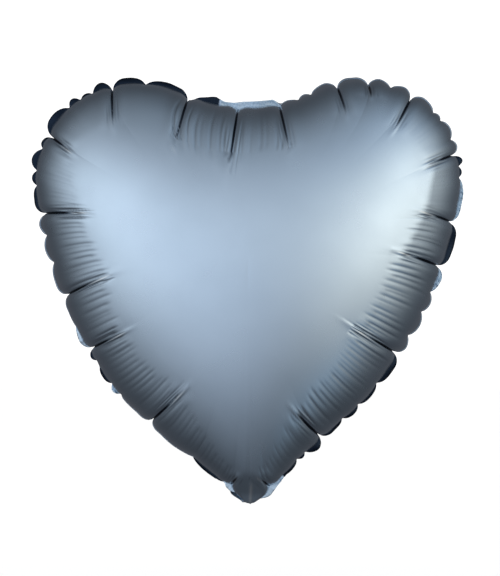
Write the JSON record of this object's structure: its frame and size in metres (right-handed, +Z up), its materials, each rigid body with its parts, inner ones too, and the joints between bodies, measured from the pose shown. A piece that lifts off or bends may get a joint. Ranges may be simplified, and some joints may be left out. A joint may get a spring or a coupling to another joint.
{
  "type": "heart-shaped foil balloon",
  "caption": "Inflated heart-shaped foil balloon with a welded, scalloped edge, a filling neck folded up behind the point and a flat film valve inside.",
  "frame": {"origin": "on the neck's fold line just below the heart's point, where a ribbon is tied", "axes": "+Z up through the middle of the heart, -Y the front, +X to the right as seen from the front; the weld lies in the plane y = 0"},
  "size_m": [0.39, 0.217, 0.3876],
  "materials": {
    "foil": "satin metallised film, steel blue",
    "weld": "heat-sealed metallised film, crinkled",
    "valve_film": "milky translucent film"
  },
  "bodies": {
    "envelope": {"front_panel": "foil", "rear_panel": "foil", "seam_flange": "weld"},
    "neck": {"neck_front_sheet": "foil", "neck_rear_sheet": "foil", "neck_valve_front_film": "valve_film", "neck_valve_rear_film": "valve_film"},
    "valve_front": {"valve_front_film": "valve_film"},
    "valve_rear": {"valve_rear_film": "valve_film"}
  },
  "joints": [
    {"name": "neck_fold", "type": "hinge", "parent": "envelope", "child": "neck", "pos_m": [0, 0, 0], "axis": [1, 0, 0], "range_deg": [-254, 0]},
    {"name": "valve_front_flap", "type": "hinge", "parent": "envelope", "child": "valve_front", "pos_m": [0, 0, 0.014], "axis": [1, 0, 0], "range_deg": [0, 10], "stiffness_Nm_per_rad": 0.0002},
    {"name": "valve_rear_flap", "type": "hinge", "parent": "envelope", "child": "valve_rear", "pos_m": [0, 0, 0.014], "axis": [1, 0, 0], "range_deg": [-10, 0], "stiffness_Nm_per_rad": 0.0002}
  ],
  "couplings": [
    {"joint": "valve_rear_flap", "follows": "valve_front_flap", "ratio": -1}
  ]
}
